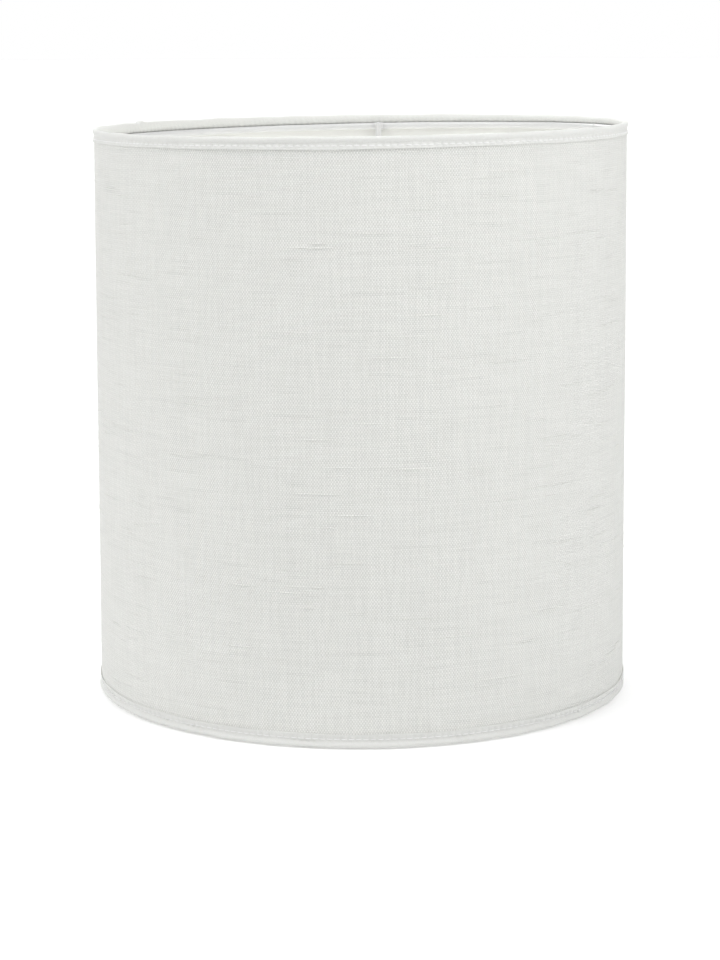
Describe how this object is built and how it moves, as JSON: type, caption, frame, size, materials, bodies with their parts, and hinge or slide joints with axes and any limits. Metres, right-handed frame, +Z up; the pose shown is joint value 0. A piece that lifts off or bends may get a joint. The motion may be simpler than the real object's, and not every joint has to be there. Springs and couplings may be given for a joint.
{
  "type": "lamp shade",
  "caption": "Drum lamp shade of off-white woven linen on a stiff backing, with stitched tape bindings, wire rings and a wire-arm spider that carries a lampholder collar.",
  "frame": {"origin": "centre of the circle on which the bottom binding rests", "axes": "+Z up along the drum's axis and out of the lampholder collar; +X to the right and +Y away, seen from the front"},
  "size_m": [0.3014, 0.3014, 0.32],
  "materials": {
    "linen": "plain weave with slubs, matt",
    "backing_film": "smooth satin film",
    "seam_adhesive": "clear adhesive strip",
    "bias_tape": "fine cotton cut on the bias",
    "sewing_thread": "twisted polyester",
    "coated_wire": "white powder coat, semi-gloss",
    "coated_sheet": "white powder coat, semi-gloss"
  },
  "bodies": {
    "root": {"linen_cover": "linen", "backing_sheet": "backing_film", "seam_tape": "seam_adhesive", "top_binding": "bias_tape", "bottom_binding": "bias_tape", "top_needle_thread": "sewing_thread", "top_bobbin_thread": "sewing_thread", "bottom_needle_thread": "sewing_thread", "bottom_bobbin_thread": "sewing_thread", "top_ring": "coated_wire", "bottom_ring": "coated_wire", "top_ring_weld": "coated_wire", "bottom_ring_weld": "coated_wire", "arm_back": "coated_wire", "arm_left": "coated_wire", "arm_right": "coated_wire", "fitter_ring": "coated_sheet", "arm_ring_welds": "coated_wire", "arm_fitter_welds": "coated_wire"}
  },
  "joints": []
}
